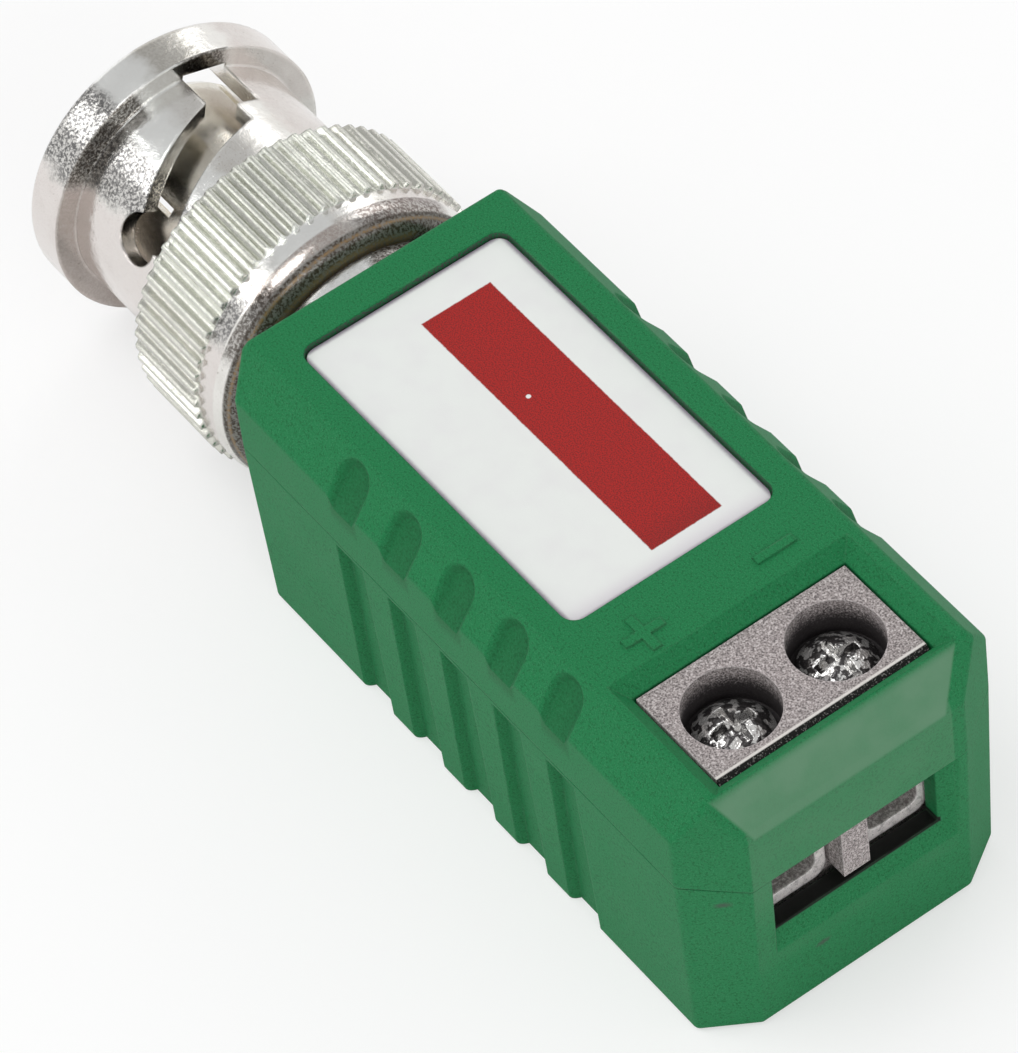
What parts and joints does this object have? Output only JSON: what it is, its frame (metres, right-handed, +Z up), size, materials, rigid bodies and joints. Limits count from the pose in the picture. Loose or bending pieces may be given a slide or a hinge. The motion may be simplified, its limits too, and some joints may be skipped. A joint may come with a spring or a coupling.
{
  "type": "video balun",
  "caption": "Camera-cable balun: bayonet coaxial plug with a knurled nut, green moulded housing and a screw terminal for a wire pair.",
  "frame": {"origin": "centre of the green housing's underside", "axes": "+X from the plug to the screw terminals, +Z up, out of the labelled face"},
  "size_m": [0.0485, 0.0154, 0.0149],
  "materials": {
    "housing_green": "fine matte grain",
    "label_print": "satin film, lightly worn",
    "nickel_plate": "worn nickel plate",
    "contact_plate": "bright contact plate",
    "gold_pin": "thin gold plate",
    "spring_steel": "spring steel",
    "insulator_white": "waxy white plastic",
    "gasket_rubber": "soft matte rubber",
    "block_grey": "speckled matte grey",
    "screw_steel": "bright zinc plate, worn",
    "cage_plate": "bright tin plate",
    "board_laminate": "glass laminate with solder mask",
    "ferrite": "dull dark ferrite",
    "enamel_wire": "enamelled copper",
    "disc_ceramic": "dipped ceramic",
    "resistor_body": "lacquered ceramic",
    "suppressor_body": "glazed ceramic",
    "lead_tin": "tinned wire"
  },
  "bodies": {
    "housing": {"lower_shell": "housing_green", "upper_shell": "housing_green", "label": "label_print", "plug_body": "nickel_plate", "outer_contact": "contact_plate", "insulator": "insulator_white", "centre_pin": "gold_pin", "front_gasket": "gasket_rubber", "wave_washer": "spring_steel", "retaining_ring": "spring_steel", "terminal_block": "block_grey", "contact_bar_plus": "cage_plate", "contact_bar_minus": "cage_plate", "circuit_board": "board_laminate", "toroid_core": "ferrite", "toroid_winding": "enamel_wire", "capacitor": "disc_ceramic", "resistor": "resistor_body", "surge_suppressor": "suppressor_body", "centre_lead": "lead_tin", "ground_lead": "lead_tin"},
    "nut_carrier": {"thrust_washer": "spring_steel"},
    "nut": {"coupling_nut": "nickel_plate"},
    "screw_plus": {"terminal_screw_plus": "screw_steel"},
    "screw_minus": {"terminal_screw_minus": "screw_steel"},
    "cage_plus": {"wire_cage_plus": "cage_plate"},
    "cage_minus": {"wire_cage_minus": "cage_plate"}
  },
  "joints": [
    {"name": "nut_slide", "type": "slide", "parent": "housing", "child": "nut_carrier", "axis": [-1, 0, 0], "range_m": [0, 0.0005], "stiffness_N_per_m": 2000},
    {"name": "nut_spin", "type": "hinge", "parent": "nut_carrier", "child": "nut", "pos_m": [-0.0248, 0, 0.0074], "axis": [1, 0, 0], "continuous": true},
    {"name": "screw_plus_turn", "type": "hinge", "parent": "housing", "child": "screw_plus", "pos_m": [0.01185, -0.00254, 0.0122], "axis": [0, 0, -1], "range_deg": [0, 1080]},
    {"name": "cage_plus_rise", "type": "slide", "parent": "housing", "child": "cage_plus", "axis": [0, 0, 1], "range_m": [0, 0.0015]},
    {"name": "screw_minus_turn", "type": "hinge", "parent": "housing", "child": "screw_minus", "pos_m": [0.01185, 0.00254, 0.0122], "axis": [0, 0, -1], "range_deg": [0, 1080]},
    {"name": "cage_minus_rise", "type": "slide", "parent": "housing", "child": "cage_minus", "axis": [0, 0, 1], "range_m": [0, 0.0015]}
  ],
  "couplings": [
    {"joint": "screw_plus_turn", "follows": "cage_plus_rise", "rad_per_m": 12566},
    {"joint": "screw_minus_turn", "follows": "cage_minus_rise", "rad_per_m": 12566}
  ]
}
